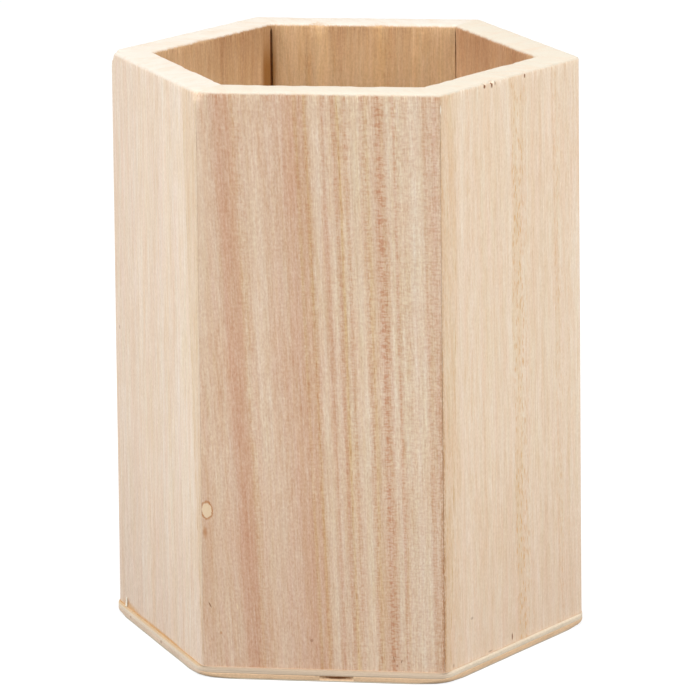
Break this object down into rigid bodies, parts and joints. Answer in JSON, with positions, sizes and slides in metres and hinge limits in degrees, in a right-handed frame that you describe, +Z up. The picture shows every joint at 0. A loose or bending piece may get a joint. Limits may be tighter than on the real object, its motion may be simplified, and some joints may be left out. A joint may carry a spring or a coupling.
{
  "type": "pen holder",
  "caption": "Upright hexagonal wooden pen holder: mitred boards glued into an open-topped ring on a thin plywood base that stands slightly proud of the walls.",
  "frame": {"origin": "middle of the base's underside, which rests on the desk", "axes": "+Z up through the open mouth; -Y out of the front board; +X to the viewer's right, through a corner"},
  "size_m": [0.082, 0.072, 0.1],
  "materials": {
    "board_wood": "bare sanded wood, matt",
    "joint_glue": "dried wood glue, brown, satin",
    "base_face_ply": "bare pale veneer, matt",
    "base_core_ply": "bare tan veneer edge, matt",
    "base_back_ply": "bare greyish veneer, matt"
  },
  "bodies": {
    "root": {"front_wall": "board_wood", "front_right_wall": "board_wood", "back_right_wall": "board_wood", "back_wall": "board_wood", "back_left_wall": "board_wood", "front_left_wall": "board_wood", "front_right_corner_glue": "joint_glue", "right_corner_glue": "joint_glue", "back_right_corner_glue": "joint_glue", "back_left_corner_glue": "joint_glue", "left_corner_glue": "joint_glue", "front_left_corner_glue": "joint_glue", "base_glue_bed": "joint_glue", "base_face_ply": "base_face_ply", "base_core_ply": "base_core_ply", "base_back_ply": "base_back_ply"}
  },
  "joints": []
}
